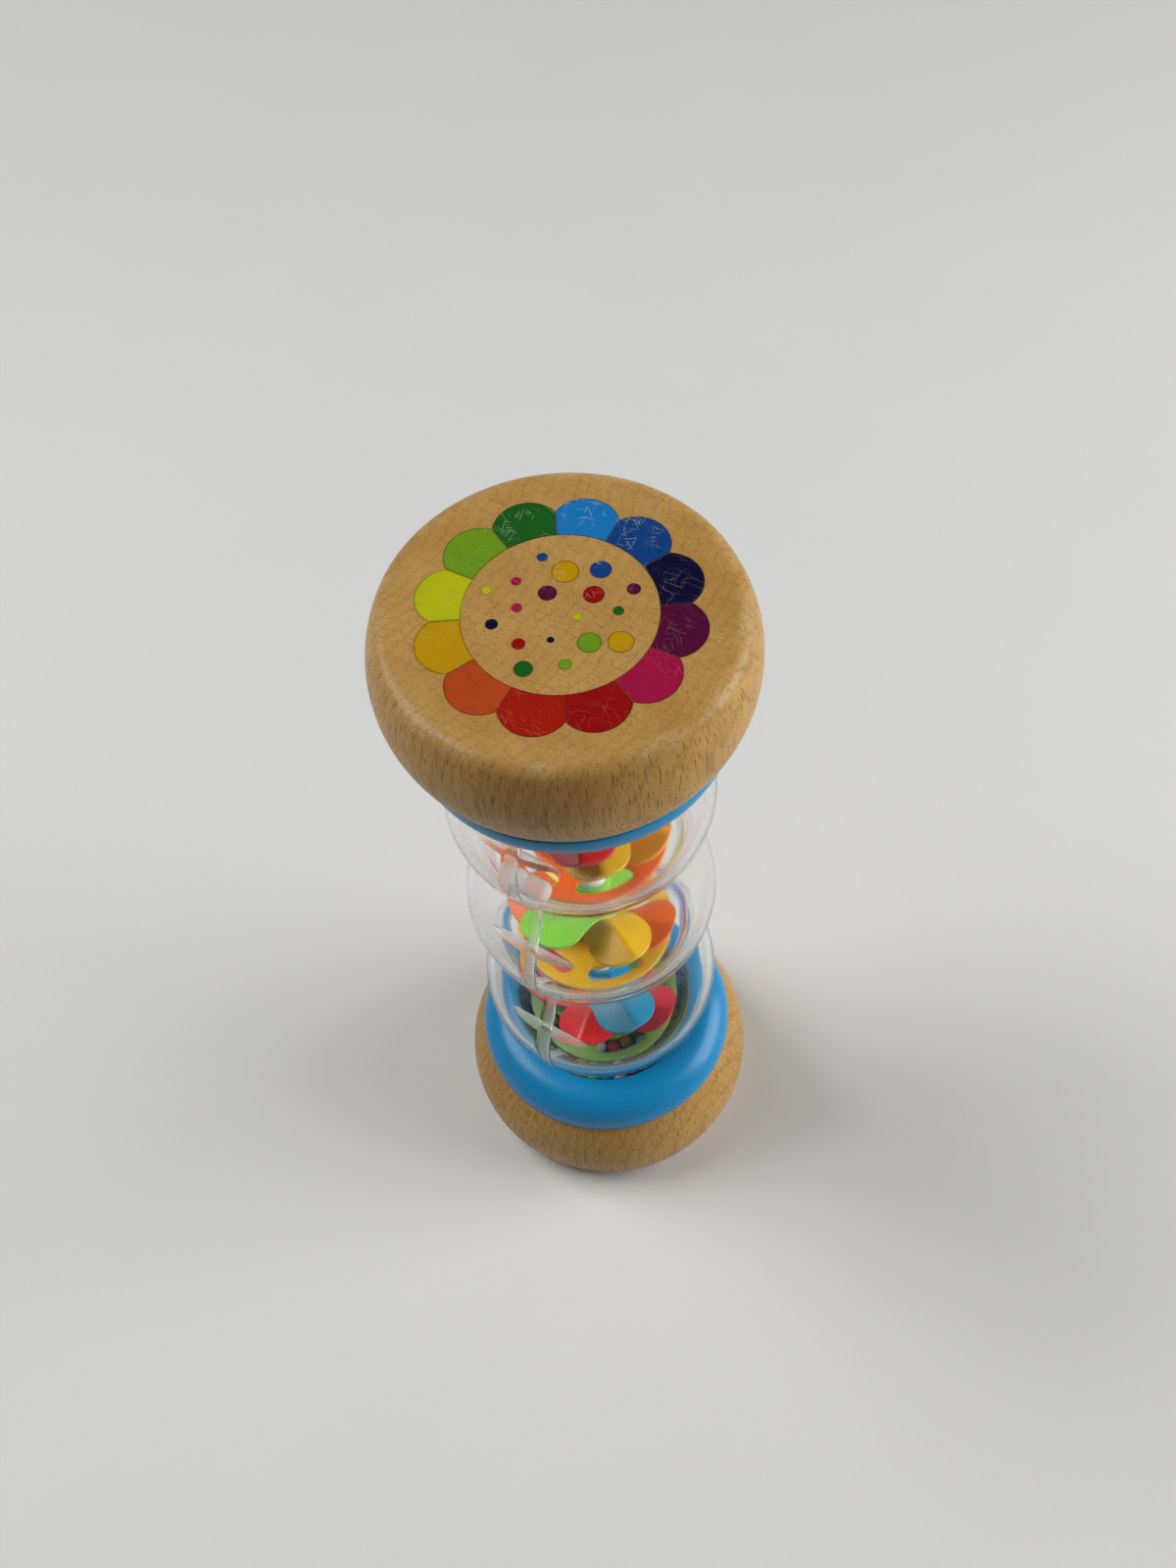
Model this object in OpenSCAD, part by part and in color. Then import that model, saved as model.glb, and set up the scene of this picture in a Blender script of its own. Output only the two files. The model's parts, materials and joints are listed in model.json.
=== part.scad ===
// Rainmaker rattle: turned wooden ends, blue collars, a clear body of two halves with three bulges,
// and on its axle slotted discs and free petal plates that a handful of beads falls through.
// Millimetres, +Z up, standing on the lower end, origin at the middle of its flat face, front is -Y.

/* [Wooden ends] */
// Largest diameter of a wooden end
end_d = 66; // [64:0.5:76]
// Height of a wooden end
end_h = 24; // [22:0.5:28]
// Radius of the rounded side
side_r = 22; // [18:0.5:26]
// Distance from the flat face to the widest part
side_z = 10.6; // [9:0.2:13]
// Rounding where the side meets the flat face
face_round = 3; // [1:0.5:5]

/* [Collars] */
// Diameter of the collar's flange
collar_d = 58; // [57:0.5:64]
// Height of a collar above the wood
collar_h = 8.5; // [7:0.5:9]
// Height of the flange's upright edge
flange_h = 1.5; // [1:0.25:2.5]
// Diameter of the spigot that sits in the wood
spigot_d = 44; // [43:0.5:48]
// Depth of the spigot in the wood
spigot_h = 9; // [6:0.5:12]
// Depth left free for glue under the spigot
glue_room = 0.5; // [0.2:0.1:1]
// Thickness of the collar's floor
floor_t = 2; // [1.5:0.25:3]
// Length of the clear body's end in the collar
seat_depth = 8; // [4:0.5:8]
// Outer diameter of the post that holds the axle
post_d = 10; // [8.5:0.5:12]

/* [Clear body] */
// Diameter at the bulges
bulge_d = 51.2; // [48:0.2:54]
// Diameter at the necks
neck_d = 39.8; // [39:0.2:41]
// Height of one bulge
bulge_pitch = 38.6; // [37:0.2:44]
// Radius of a bulge's outward curve
crest_r = 20; // [17:0.5:22]
// Wall thickness
wall = 1.6; // [1:0.1:1.8]
// Turn of the seam from the front
seam_turn = -37; // [-180:1:180]
// Width of the seam's inner rib on each half
rib_w = 1.3; // [0.8:0.1:2]
// Height of the seam's inner rib
rib_h = 1; // [0.5:0.1:1.2]
// Height of the seam ledges above the middle of a bulge
ledge_rise = 6.5; // [5:0.5:8]
// Half the angle that a seam ledge spans
ledge_angle = 25; // [15:1:30]
// Thickness of a seam ledge
ledge_t = 1.2; // [0.8:0.1:2]
// Diameter of the locating boss on the seam
boss_d = 5; // [4:0.25:5]
// Length of the locating boss on each half
boss_l = 5; // [4:0.5:6]
// Distance of the locating boss from the axle
boss_reach = 20.5; // [20.3:0.1:21.5]
// Drop of the locating boss below the middle of the upper bulge
boss_drop = 7; // [5:0.5:8]
// Diameter of the locating peg
peg_d = 2.4; // [1.6:0.2:2.8]
// Length of the locating peg
peg_l = 3; // [2:0.25:3.5]

/* [Axle and discs] */
// Diameter of the axle
axle_d = 5; // [4:0.25:6]
// Diameter of the spacer sleeves
sleeve_d = 7.2; // [7:0.2:9]
// Diameter of the slotted discs
disc_d = 33; // [31:0.2:34]
// Thickness of the slotted discs
disc_t = 1.6; // [1:0.1:2]
// Slots in a disc
slot_count = 5; // [3:1:7]
// Distance of a slot's inner edge from the axle
slot_in = 10.6; // [8:0.2:11]
// Width of a slot
slot_w = 3.4; // [3.2:0.1:4.4]
// Width of the web between two slots
web_w = 3.6; // [2:0.2:5]
// Turn of the discs' first slot from the front
slot_turn = 13; // [-180:1:180]

/* [Petal plates] */
// Diameter of a petal's round end
petal_d = 13; // [11:0.5:13.4]
// Distance of a petal's round end from the axle
petal_reach = 11; // [9.5:0.1:11.2]
// Thickness of a petal
petal_t = 1.2; // [0.8:0.1:1.4]
// Slope of a petal's two sides, down from its fold
petal_fold = 20; // [10:1:24]
// Tilt of the fold, so that falling beads turn the plate
petal_tilt = 6; // [0:1:9]
// Diameter of a plate's hub
hub_d = 8.4; // [8:0.2:10]
// Height of one plate in its stack
layer_h = 5.5; // [5.2:0.1:5.8]
// Drop of the uppermost plate below the middle of its bulge
stack_drop = 1; // [0:0.1:2]
// Turn of the plates in the upper bulge from the front, from the top down
upper_turns = [-4, 8, 66]; // [-180:1:180]
// Turn of the plates in the middle bulge from the front, from the top down
middle_turns = [-50, 24, 70]; // [-180:1:180]
// Turn of the plates in the lower bulge from the front, from the top down
lower_turns = [22, -22, 60]; // [-180:1:180]

/* [Beads] */
// Diameter of a bead
bead_d = 3; // [2.4:0.1:3.1]
// Space between beads
bead_space = 0.2; // [0.1:0.05:0.4]

/* [Fits] */
// Gap all round a piece that is pressed or glued in place
glue_gap = 0.05; // [0.02:0.01:0.1]
// Gap all round the axle in a plate that turns
turn_gap = 0.08; // [0.04:0.01:0.1]
// Gap along the axle between pieces that turn
end_gap = 0.3; // [0.2:0.05:0.5]

/* [Hidden] */
$fn = 96;

// The bulges are counted from below, and so are the four discs
bulge_names = ["lower", "middle", "upper"];
bulges = len(bulge_names);
lower = 0;
middle = lower + 1;
upper = bulges - 1;
layers = 3;
bead_colours = 5;
// Solids that join overlap by this much, and cuts run this far past a face
merge = 0.2;
// The curves of the necks cut this much deeper, so that they cross the curves that they run into
curve_cross = 0.03;
// The straight ends of the clear body run this far into the end necks
straight_h = 2;

end_r = end_d / 2;
collar_r = collar_d / 2;
spigot_r = spigot_d / 2;
bulge_r = bulge_d / 2;
neck_r = neck_d / 2;
axle_r = axle_d / 2;
bead_r = bead_d / 2;
shoulder_r = collar_h - flange_h;
neck_z = end_h + collar_h;
shell_z = neck_z - seat_depth;
floor_z = end_h - spigot_h + floor_t;
total_h = 2 * neck_z + bulges * bulge_pitch;
chamber_r = neck_r - wall;

// Middle of the edge rounding, inside the arc of the wooden end's side
round_x = end_r - side_r + sqrt(pow(side_r - face_round, 2) - pow(side_z - face_round, 2));
round_top = side_z - (side_z - face_round) * side_r / (side_r - face_round);

// The neck's curve runs into the bulge's curve without a corner
swell = bulge_r - neck_r;
curve_sum = (pow(bulge_pitch / 2, 2) + pow(swell, 2)) / (2 * swell);
neck_curve_r = curve_sum - crest_r;
crest_x = bulge_r - crest_r;

rib_angle = rib_w / bulge_r * 180 / PI;
ledge_in = crest_x + sqrt(pow(crest_r - wall, 2) - pow(ledge_rise, 2));
hub_h = layer_h - end_gap;
stack_top = hub_h / 2 - stack_drop + end_gap;
stack_bottom = stack_drop + (layers - 1) * layer_h + hub_h / 2 + end_gap;
web_angle = web_w / (slot_in + slot_w / 2) * 180 / PI;
bead_step = bead_d + bead_space;
bead_rings = floor((chamber_r - post_d / 2 - bead_space) / bead_step);

function bulge_z(i) = neck_z + (i + 0.5) * bulge_pitch;
function disc_z(i) = neck_z + i * bulge_pitch;
function layer_z(bulge, layer) = bulge_z(bulge) - stack_drop - layer * layer_h;
// Distance from the axis at which the two curves of the wavy wall meet, at a depth below the outer face
function meet_x(depth) = crest_x + (crest_r - depth) * (curve_sum - swell) / curve_sum;
function bead_ring_r(j) = post_d / 2 + 2 * bead_space + bead_r + j * bead_step;
function bead_ring_count(j) = floor(180 / asin(bead_step / 2 / bead_ring_r(j)));

// A slice of a turned profile: from the axis out to r, between two heights
module slice(z0, z1, r) {
    translate([0, z0]) square([r, z1 - z0]);
}

// Turns a piece from the front by an angle, counted to the right
module turned(angle) {
    rotate(angle - 90) children();
}

// Puts a piece of the lower half in its place at the top
module at_top() {
    translate([0, 0, total_h]) mirror([0, 0, 1]) children();
}

module end_profile() {
    slice(0, end_h, spigot_r);
    slice(0, round_top + merge, round_x);
    intersection() {
        translate([round_x, face_round]) circle(face_round);
        slice(0, round_top, end_r);
    }
    intersection() {
        translate([end_r - side_r, side_z]) circle(side_r);
        slice(round_top, end_h, end_r + merge);
    }
}

module wooden_end() {
    difference() {
        rotate_extrude() end_profile();
        translate([0, 0, end_h - spigot_h - glue_room])
            cylinder(r = spigot_r + glue_gap, h = spigot_h + glue_room + merge);
    }
}

module collar_profile() {
    slice(end_h - spigot_h, end_h, spigot_r);
    slice(end_h, end_h + flange_h, collar_r);
    slice(end_h + flange_h, neck_z, collar_r - shoulder_r);
    intersection() {
        translate([collar_r - shoulder_r, end_h + flange_h]) circle(shoulder_r);
        translate([collar_r - shoulder_r, end_h + flange_h]) square(shoulder_r + merge);
    }
}

module collar() {
    post_h = disc_z(lower) - disc_t / 2 - floor_z;
    difference() {
        rotate_extrude() collar_profile();
        translate([0, 0, floor_z]) cylinder(r = chamber_r, h = neck_z);
        translate([0, 0, shell_z]) cylinder(r = neck_r + glue_gap, h = neck_z);
    }
    difference() {
        translate([0, 0, floor_z - merge]) cylinder(d = post_d, h = post_h + merge);
        translate([0, 0, floor_z]) cylinder(r = axle_r + glue_gap, h = neck_z);
    }
}

// The space inside the wavy wall, at a depth below its outer face
module wave_profile(depth) {
    difference() {
        union() {
            slice(neck_z, total_h - neck_z, meet_x(depth));
            intersection() {
                slice(shell_z, total_h - shell_z, bulge_r + merge);
                for (i = [0 : bulges - 1])
                    translate([crest_x, bulge_z(i)]) circle(crest_r - depth);
            }
        }
        for (i = [0 : bulges])
            translate([neck_r + neck_curve_r, disc_z(i)]) circle(neck_curve_r + depth + curve_cross);
    }
    slice(shell_z, neck_z + straight_h, neck_r - depth);
    slice(total_h - neck_z - straight_h, total_h - shell_z, neck_r - depth);
}

// The rib, the ledges and the locating boss along one edge of a half, with the edge at angle 0
module seam_edge() {
    rotate_extrude(angle = rib_angle)
        intersection() {
            difference() {
                wave_profile(wall / 2);
                wave_profile(wall + rib_h);
            }
            slice(neck_z, total_h - neck_z, bulge_r);
        }
    for (i = [0 : bulges - 1]) {
        ledge_z = bulge_z(i) + ledge_rise;
        intersection() {
            rotate_extrude(angle = 2 * ledge_angle)
                intersection() {
                    wave_profile(wall / 2);
                    slice(ledge_z, ledge_z + ledge_t, bulge_r);
                }
            translate([ledge_in * cos(ledge_angle), -merge, ledge_z - merge])
                cube([bulge_r, bulge_r, ledge_t + 2 * merge]);
        }
    }
    translate([boss_reach, 0, bulge_z(upper) - boss_drop]) rotate([-90, 0, 0])
        cylinder(d = boss_d, h = boss_l);
}

// Half of the clear body, on the +Y side of its seam, with a peg at one edge and its hole at the other
module half_shell() {
    difference() {
        union() {
            rotate_extrude(angle = 180)
                difference() {
                    wave_profile(0);
                    wave_profile(wall);
                }
            seam_edge();
            mirror([1, 0, 0]) seam_edge();
        }
        translate([-boss_reach, -merge, bulge_z(upper) - boss_drop]) rotate([-90, 0, 0])
            cylinder(r = peg_d / 2 + glue_gap, h = peg_l + 2 * merge);
    }
    translate([boss_reach, -peg_l, bulge_z(upper) - boss_drop]) rotate([-90, 0, 0])
        cylinder(d = peg_d, h = peg_l + merge);
}

module slotted_disc(i) {
    step = 360 / slot_count;
    translate([0, 0, disc_z(i) - disc_t / 2])
        difference() {
            cylinder(d = disc_d, h = disc_t);
            translate([0, 0, -merge]) cylinder(r = axle_r + glue_gap, h = disc_t + 2 * merge);
            for (k = [0 : slot_count - 1])
                turned(slot_turn + k * step - (step - web_angle) / 2)
                    translate([0, 0, -merge])
                        rotate_extrude(angle = step - web_angle)
                            translate([slot_in, 0]) square([slot_w, disc_t + 2 * merge]);
        }
}

// A spacer on the axle between two heights
module sleeve(z0, z1) {
    translate([0, 0, z0])
        difference() {
            cylinder(d = sleeve_d, h = z1 - z0);
            translate([0, 0, -merge]) cylinder(r = axle_r + glue_gap, h = z1 - z0 + 2 * merge);
        }
}

// The spacer under a stack of plates
module short_sleeve(bulge) {
    color("gainsboro") sleeve(disc_z(bulge) + disc_t / 2, bulge_z(bulge) - stack_bottom);
}

// The spacer over a stack of plates
module long_sleeve(bulge) {
    color("gainsboro") sleeve(bulge_z(bulge) + stack_top, disc_z(bulge + 1) - disc_t / 2);
}

// A petal seen from above: a round end on a root that is as wide as the hub
module petal_outline() {
    root_w = hub_d / 2 - merge;
    end_w = petal_d / 2 - 2 * merge;
    translate([petal_reach, 0]) circle(d = petal_d);
    polygon([[0, -root_w], [petal_reach, -end_w], [petal_reach, end_w], [0, root_w]]);
}

// A petal's section across its fold, wider than the petal
module fold_profile() {
    half_w = 0.6 * petal_d;
    drop = half_w * tan(petal_fold);
    half_t = petal_t / 2 / cos(petal_fold);
    polygon([[-half_w, -drop - half_t], [0, -half_t], [half_w, -drop - half_t],
        [half_w, half_t - drop], [0, half_t], [-half_w, half_t - drop]]);
}

module petal() {
    rise = petal_d / 4 * tan(petal_fold);
    intersection() {
        linear_extrude(2 * layer_h, center = true) petal_outline();
        translate([0, 0, rise]) rotate([petal_tilt, 0, 0]) rotate([90, 0, 90])
            linear_extrude(petal_reach + petal_d) fold_profile();
    }
}

module petal_plate(bulge, layer, angle) {
    translate([0, 0, layer_z(bulge, layer)]) turned(angle)
        difference() {
            union() {
                petal();
                rotate(180) petal();
                cylinder(d = hub_d, h = hub_h, center = true);
            }
            cylinder(r = axle_r + turn_gap, h = layer_h, center = true);
        }
}

// Every fifth bead, in rings on the floor of the lower collar
module beads(first) {
    for (j = [0 : bead_rings - 1])
        for (n = [0 : bead_ring_count(j) - 1])
            if ((n + 2 * j) % bead_colours == first)
                rotate(n * 360 / bead_ring_count(j))
                    translate([bead_ring_r(j), 0, floor_z + bead_r + glue_gap])
                        sphere(bead_r);
}

module lower_end() { color("burlywood") wooden_end(); }
module upper_end() { color("burlywood") at_top() wooden_end(); }
module lower_collar() { color("deepskyblue") collar(); }
module upper_collar() { color("deepskyblue") at_top() collar(); }
module right_shell() { color("whitesmoke", 0.35) turned(seam_turn) half_shell(); }
module left_shell() { color("whitesmoke", 0.35) turned(seam_turn + 180) half_shell(); }
module axle() { color("white") translate([0, 0, floor_z]) cylinder(d = axle_d, h = total_h - 2 * floor_z); }
module green_disc() { color("yellowgreen") slotted_disc(0); }
module yellow_disc() { color("gold") slotted_disc(1); }
module orange_disc() { color("darkorange") slotted_disc(2); }
module red_disc() { color("red") slotted_disc(3); }
module lower_short_sleeve() { short_sleeve(lower); }
module middle_short_sleeve() { short_sleeve(middle); }
module upper_short_sleeve() { short_sleeve(upper); }
module lower_long_sleeve() { long_sleeve(lower); }
module middle_long_sleeve() { long_sleeve(middle); }
module upper_long_sleeve() { long_sleeve(upper); }
module upper_red_plate() { color("red") petal_plate(upper, 0, upper_turns[0]); }
module upper_yellow_plate() { color("gold") petal_plate(upper, 1, upper_turns[1]); }
module upper_amber_plate() { color("orange") petal_plate(upper, 2, upper_turns[2]); }
module middle_green_plate() { color("limegreen") petal_plate(middle, 0, middle_turns[0]); }
module middle_yellow_plate() { color("gold") petal_plate(middle, 1, middle_turns[1]); }
module middle_orange_plate() { color("orangered") petal_plate(middle, 2, middle_turns[2]); }
module lower_blue_plate() { color("dodgerblue") petal_plate(lower, 0, lower_turns[0]); }
module lower_red_plate() { color("red") petal_plate(lower, 1, lower_turns[1]); }
module lower_crimson_plate() { color("crimson") petal_plate(lower, 2, lower_turns[2]); }
module red_beads() { color("red") beads(0); }
module yellow_beads() { color("gold") beads(1); }
module green_beads() { color("limegreen") beads(2); }
module blue_beads() { color("dodgerblue") beads(3); }
module white_beads() { color("white") beads(4); }

lower_end();
upper_end();
lower_collar();
upper_collar();
right_shell();
left_shell();
axle();
green_disc();
yellow_disc();
orange_disc();
red_disc();
lower_short_sleeve();
middle_short_sleeve();
upper_short_sleeve();
lower_long_sleeve();
middle_long_sleeve();
upper_long_sleeve();
upper_red_plate();
upper_yellow_plate();
upper_amber_plate();
middle_green_plate();
middle_yellow_plate();
middle_orange_plate();
lower_blue_plate();
lower_red_plate();
lower_crimson_plate();
red_beads();
yellow_beads();
green_beads();
blue_beads();
white_beads();
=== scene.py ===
"""A rainmaker rattle: turned beech ends, blue collars and a clear body with three bulges.

Bright slotted discs and petal plates sit on an axle in the clear body, above a handful of beads.
Sizes are in millimetres and become metres where a mesh is made. An azimuth is a turn to the right
from the front, which is -Y.
"""
import json
import math

import bmesh
import bpy
from mathutils import Matrix, Vector


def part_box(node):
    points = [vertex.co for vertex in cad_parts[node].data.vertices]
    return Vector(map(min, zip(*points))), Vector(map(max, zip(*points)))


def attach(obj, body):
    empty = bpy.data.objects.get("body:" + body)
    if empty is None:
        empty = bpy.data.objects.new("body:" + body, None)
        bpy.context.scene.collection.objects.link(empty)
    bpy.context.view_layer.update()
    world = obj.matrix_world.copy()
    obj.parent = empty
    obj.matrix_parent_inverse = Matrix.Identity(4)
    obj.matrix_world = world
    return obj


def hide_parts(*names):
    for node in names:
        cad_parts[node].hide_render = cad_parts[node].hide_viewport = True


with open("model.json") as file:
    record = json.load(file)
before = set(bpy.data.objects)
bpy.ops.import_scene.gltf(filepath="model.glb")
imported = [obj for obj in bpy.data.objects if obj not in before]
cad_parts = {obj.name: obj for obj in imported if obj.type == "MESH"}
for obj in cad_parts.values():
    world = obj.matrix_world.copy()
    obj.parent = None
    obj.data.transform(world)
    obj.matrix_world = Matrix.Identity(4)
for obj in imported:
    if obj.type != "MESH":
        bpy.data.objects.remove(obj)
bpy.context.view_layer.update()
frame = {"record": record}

MM = 0.001
MERGE = 1e-6
SHARP_ANGLE = math.radians(35)
CORNER_STEPS = 4

# Camera, as the photograph was taken
LENS = 38.75
CAMERA_PLACE = (0, -166.9, 395.7)
CAMERA_DOWN = 58.04
CAMERA_RIGHT = 0.52
CAMERA_ROLL = -6.13
SENSOR_W = 36
CLIP_START = 0.01

# Where the pieces are, read from the frame


def span(node):
    """Lowest and highest corner of a CAD node, in millimetres."""
    low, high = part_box(node)
    return low / MM, high / MM


def heights(node):
    """Lowest and highest level of a CAD node, in millimetres."""
    low, high = span(node)
    return low.z, high.z


def radius_of(node):
    """Largest distance of a round CAD node from the axis, in millimetres."""
    return span(node)[1].x


TOTAL_H = heights("upper_end")[1]
END_R = radius_of("lower_end")
END_H = heights("lower_end")[1]
COLLAR_R = radius_of("lower_collar")
SPIGOT_Z, NECK_Z = heights("lower_collar")
SHELL_Z = heights("right_shell")[0]
AXLE_R = radius_of("axle")
FLOOR_Z = heights("axle")[0]
DISC_R = radius_of("green_disc")
DISC_BOTTOM, DISC_TOP = heights("green_disc")
BULGES = 3
PITCH = (TOTAL_H - 2 * NECK_Z) / BULGES

# Wooden ends
SIDE_R = 22
SIDE_Z = 10.6
FACE_ROUND = 3
FACE_EASE = 0.6
SOCKET_ROOM = 0.5
TURNED_STEPS = 256
FACE_STEPS = 10
SIDE_STEPS = 40

# Collars
FLANGE_H = 1.5
FLANGE_EDGE = 0.35
LIP_EDGE = 0.5
SPIGOT_R = 22
SPIGOT_EDGE = 0.5
SHOULDER_STEPS = 24
POST_R = 5
GLUE_GAP = 0.05

# Clear body
BULGE_R = 25.6
NECK_R = 19.9
CREST_R = 20
WALL = 1.6
SEAM_TURN = -37
SEAM_GAP = 0.02
SEAM_FACING = 0.99
RIB_W = 0.8
RIB_H = 0.8
RIB_FILLET = 1.2
LEDGE_RISE = 6.5
LEDGE_ANGLE = math.radians(25)
LEDGE_T = 1.2
LEDGE_STEPS = 24
BOSS_R = 2.5
BOSS_L = 5
BOSS_REACH = 20.5
BOSS_DROP = 7
BOSS_EDGE = 1.1
ROD_STEPS = 64
FROST_FROM = 0.35
FROST_FADE = 0.3
PEG_R = 1.2
PEG_L = 3
WALL_COLUMNS = 121
WALL_ROWS = 180

# Discs, sleeves and plates
SLOTS = 5
SLOT_IN = 10.6
SLOT_W = 3.4
WEB_W = 3.6
SLOT_TURN = 13
SLOT_STEPS = 16
SLOT_END_STEPS = 10
WEB_STEPS = 4
DISC_EDGE = 0.3
DISC_SHARP = 0.7
SLEEVE_R = 3.6
SLEEVE_EDGE = 0.3
TUBE_STEPS = 96
PETAL_R = 6.5
PETAL_REACH = 11
PETAL_T = 1.2
PETAL_FOLD = math.radians(20)
PETAL_TILT = math.radians(6)
PETAL_EDGE = 0.35
PETAL_SHARP = 0.9
PETAL_STEPS = 48
FOLD_ROUND = 2.5
FOLD_STEPS = 6
ROOF_SPARE = 1.2
HUB_R = 4.2
HUB_H = 5.2
HUB_EDGE = 0.4
TURN_GAP = 0.08
PLATE_TURNS = {
    "upper_red_plate": -4, "upper_yellow_plate": 8, "upper_amber_plate": 66,
    "middle_green_plate": -50, "middle_yellow_plate": 24, "middle_orange_plate": 70,
    "lower_blue_plate": 22, "lower_red_plate": -22, "lower_crimson_plate": 60,
}

# Beads
BEAD_R = 1.5
BEAD_SPACE = 0.2
BEAD_GROOVE = 0.05
GROOVE_ANGLE = 0.08
BEAD_STEPS = 24
HALF_BEAD_STEPS = 9
BEAD_SETS = ["red_beads", "yellow_beads", "green_beads", "blue_beads", "white_beads"]

# Printed flower and dots on the upper end
INK_T = 0.04
INK_EDGE = 0.2
RUBBED_SPOT = (5, 19)
FLOWER_IN = 16.1
FLOWER_NOTCH = 21.3
FLOWER_OUT = 24.25
FLOWER_TURN = 12
FLOWER_GAP = 0.03
FLOWER_IN_STEPS = 12
FLOWER_OUT_STEPS = 24
DOT_R = 2
DOT_STEPS = 40
DOTS_OUT = 14.4
DOTS_IN = 1.2
DOTS_MARGIN = 2.4
DOTS_START = 0.4
DOTS_TURN = 64
GOLDEN_ANGLE = 137.5

INKS = {
    "dark_green": (0.006, 0.095, 0.008),
    "sky": (0.008, 0.17, 0.45),
    "blue": (0.004, 0.045, 0.2),
    "navy": (0.0015, 0.001, 0.026),
    "purple": (0.075, 0.0015, 0.03),
    "pink": (0.33, 0.006, 0.05),
    "red": (0.27, 0.002, 0.002),
    "vermilion": (0.34, 0.008, 0.001),
    "orange": (0.42, 0.055, 0.008),
    "gold": (0.47, 0.26, 0.001),
    "lemon": (0.43, 0.45, 0.004),
    "lime": (0.14, 0.28, 0.009),
}
FLOWER = ["red", "pink", "purple", "navy", "blue", "sky",
          "dark_green", "lime", "lemon", "gold", "orange", "vermilion"]
DOTS = [("lemon", 1.4), ("purple", 3.1), ("navy", 1.2), ("red", 3.5), ("pink", 1.8), ("lime", 4.0),
        ("gold", 4.6), ("red", 2.2), ("dark_green", 1.8), ("pink", 1.7), ("lime", 2.1), ("blue", 3.6),
        ("navy", 2.1), ("gold", 4.3), ("blue", 1.8), ("dark_green", 3.1), ("purple", 2.3), ("lemon", 1.7)]


# Node trees written as expressions


class Field:
    """An output socket of a node tree. Arithmetic on it adds Math nodes to that tree."""

    def __init__(self, tree, socket=None):
        self.tree = tree
        self.socket = socket

    def node(self, kind, settings=None, sockets=None, output=0):
        """A new node in this tree: its settings come first, then its sockets' values or links."""
        made = self.tree.nodes.new(kind)
        for name, value in (settings or {}).items():
            setattr(made, name, value)
        for key, value in (sockets or {}).items():
            connect(made.inputs[key], value)
        return Field(self.tree, made.outputs[output])

    def output(self, name):
        """Another output of the same node."""
        return Field(self.tree, self.socket.node.outputs[name])

    def math(self, operation, *others):
        """A Math node on this field and others."""
        return self.node("ShaderNodeMath", {"operation": operation}, dict(enumerate((self, *others))))

    def vector(self, operation, other=None, output=0):
        """A Vector Math node on this field and another."""
        sockets = {0: self} if other is None else {0: self, 1: other}
        return self.node("ShaderNodeVectorMath", {"operation": operation}, sockets, output)

    def step(self, low, high):
        """Rises smoothly from 0 to 1 between two values, or falls where the first is the higher."""
        sockets = {"Value": self, "From Min": min(low, high), "From Max": max(low, high)}
        sockets.update({"To Min": float(low > high), "To Max": float(low < high)})
        return self.node("ShaderNodeMapRange", {"interpolation_type": "SMOOTHSTEP"}, sockets)

    def __add__(self, other):
        return self.math("ADD", other)

    def __radd__(self, other):
        return self.math("ADD", other)

    def __sub__(self, other):
        return self.math("SUBTRACT", other)

    def __rsub__(self, other):
        return self.math("MULTIPLY_ADD", -1, other)

    def __mul__(self, other):
        return self.math("MULTIPLY", other)

    def __rmul__(self, other):
        return self.math("MULTIPLY", other)

    def __truediv__(self, other):
        return self.math("DIVIDE", other)

    def __mod__(self, other):
        return self.math("MODULO", other)

    def __gt__(self, other):
        return self.math("GREATER_THAN", other)

    def __lt__(self, other):
        return self.math("LESS_THAN", other)


def connect(socket, value):
    """Links a field to a socket, or sets the socket to a plain value."""
    if isinstance(value, Field):
        value.tree.links.new(value.socket, socket)
    else:
        socket.default_value = value


def blend(factor, first, second, how="MIX"):
    """A colour between two, each a field or a plain colour."""
    colours = {0: factor, 6: solid(first), 7: solid(second)}
    return factor.node("ShaderNodeMix", {"data_type": "RGBA", "blend_type": how}, colours, output=2)


def solid(colour):
    """A plain colour with its alpha, or a field as it is."""
    return colour if isinstance(colour, Field) else (*colour[:3], 1)


def noise(point, stretch, detail=2):
    """Noise with so many features to the millimetre along each axis."""
    scaled = point.vector("MULTIPLY", stretch)
    sockets = {"Vector": scaled, "Scale": 1, "Detail": detail}
    return scaled.node("ShaderNodeTexNoise", {"noise_dimensions": "3D"}, sockets)


def scratches(point, turn, length, spacing, width, share):
    """Fine straight scratches in one direction on a flat face, at most one to a stretched cell."""
    stretch = (1 / length, 1 / spacing, 0)
    rotation = (0, 0, math.radians(turn))
    turned = point.node("ShaderNodeMapping", None, {"Vector": point, "Rotation": rotation})
    turned = turned.vector("MULTIPLY", stretch)
    cell = turned.node("ShaderNodeTexVoronoi", {"feature": "F1", "voronoi_dimensions": "2D"},
                       {"Vector": turned, "Scale": 1, "Randomness": 1}, output="Position")
    away = turned.vector("SUBTRACT", cell).vector("ABSOLUTE").vector("DIVIDE", (1 / length, 1 / spacing, 1))
    along = away.node("ShaderNodeSeparateXYZ", None, {0: away}, output="X")
    chance = cell.node("ShaderNodeSeparateColor", None, {0: cell.output("Color")})
    along_share = along / (chance.output("Green") * length * 0.5)
    half_width = (1 - along_share * along_share) * width
    return (half_width - along.output("Y")).step(0, width * 0.5) * (chance < share)


# Materials


def material(name, constants):
    """A material and its Principled shader, with plain numbers set on the shader's own sockets."""
    made = bpy.data.materials.new(name)
    made.use_nodes = True
    shader = made.node_tree.nodes["Principled BSDF"]
    for socket, value in constants.items():
        shader.inputs[socket].default_value = value
    return made, shader, Field(made.node_tree)


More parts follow.
